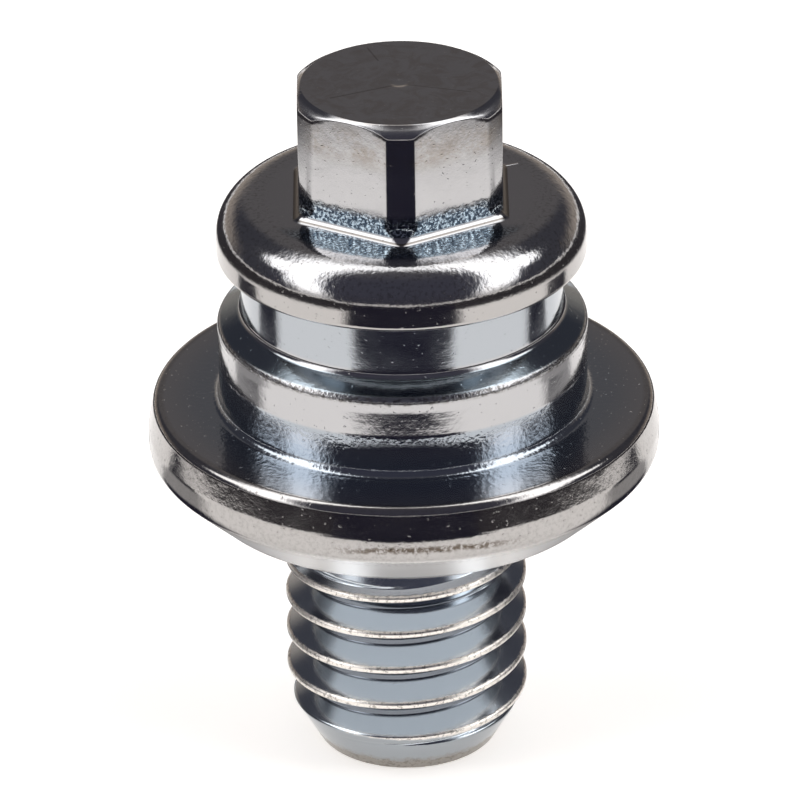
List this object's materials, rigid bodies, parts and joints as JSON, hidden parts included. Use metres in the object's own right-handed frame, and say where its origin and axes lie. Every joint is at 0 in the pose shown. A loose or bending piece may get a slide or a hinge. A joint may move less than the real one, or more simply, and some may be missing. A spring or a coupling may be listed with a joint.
{
  "type": "battery side terminal bolt",
  "caption": "Short zinc plated steel bolt with a hexagon drive, a grooved collar and a wide round flange over a stubby thread, which clamps a cable ring to a battery's side terminal.",
  "frame": {"origin": "centre of the flat thread end that the bolt stands on", "axes": "+Z along the bolt's axis from the thread end to the hexagon, -Y towards the hexagon corner that faces the viewer"},
  "size_m": [0.02, 0.02, 0.0283],
  "materials": {
    "zinc_plate": "bright zinc plating over steel, glossy with fine pitting and light scuffs"
  },
  "bodies": {
    "root": {"terminal_bolt": "zinc_plate"}
  },
  "joints": []
}
